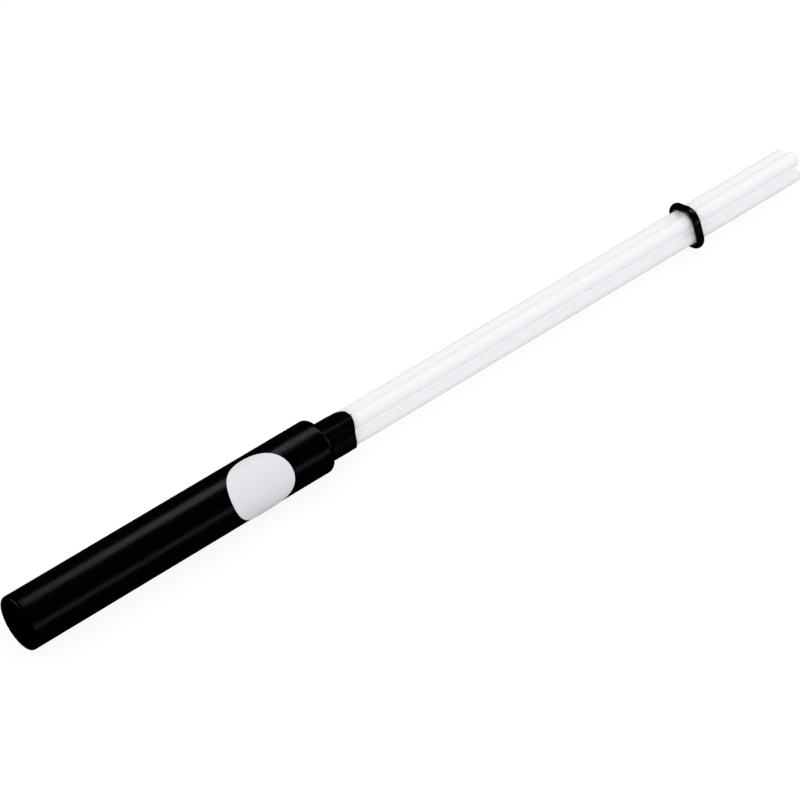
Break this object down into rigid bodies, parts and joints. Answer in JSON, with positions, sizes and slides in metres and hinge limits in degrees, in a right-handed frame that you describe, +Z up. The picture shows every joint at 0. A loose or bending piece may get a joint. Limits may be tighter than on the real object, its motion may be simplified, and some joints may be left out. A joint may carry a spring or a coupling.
{
  "type": "bundle rod drumstick",
  "caption": "Bundle rod drumstick: nylon rods bound by a shrink sleeve in a hollow vinyl grip, with a rubber ring that slides along the rods to set how far they spread.",
  "frame": {"origin": "on the floor, under the middle of the lying stick's length and width", "axes": "+X along the stick from the butt to the tip, +Z up; the stick's own axis leans down towards the tip by about an eighth of a degree, because the rubber ring is smaller than the grip"},
  "size_m": [0.3998, 0.0241, 0.0242],
  "materials": {
    "nylon": "satin",
    "shrink_tube": "satin",
    "vinyl": "gloss",
    "filler": "matte",
    "rubber": "satin",
    "sticker": "gloss"
  },
  "bodies": {
    "stick": {"rod_back": "nylon", "rod_top": "nylon", "rod_front": "nylon", "rod_bottom": "nylon", "rod_sleeve": "shrink_tube", "grip": "vinyl", "filler_tube": "filler", "round_sticker": "sticker"},
    "ring": {"rubber_ring": "rubber"}
  },
  "joints": [
    {"name": "ring_slide", "type": "slide", "parent": "stick", "child": "ring", "axis": [1, 0, -0.0022], "range_m": [-0.173, 0.05]}
  ]
}
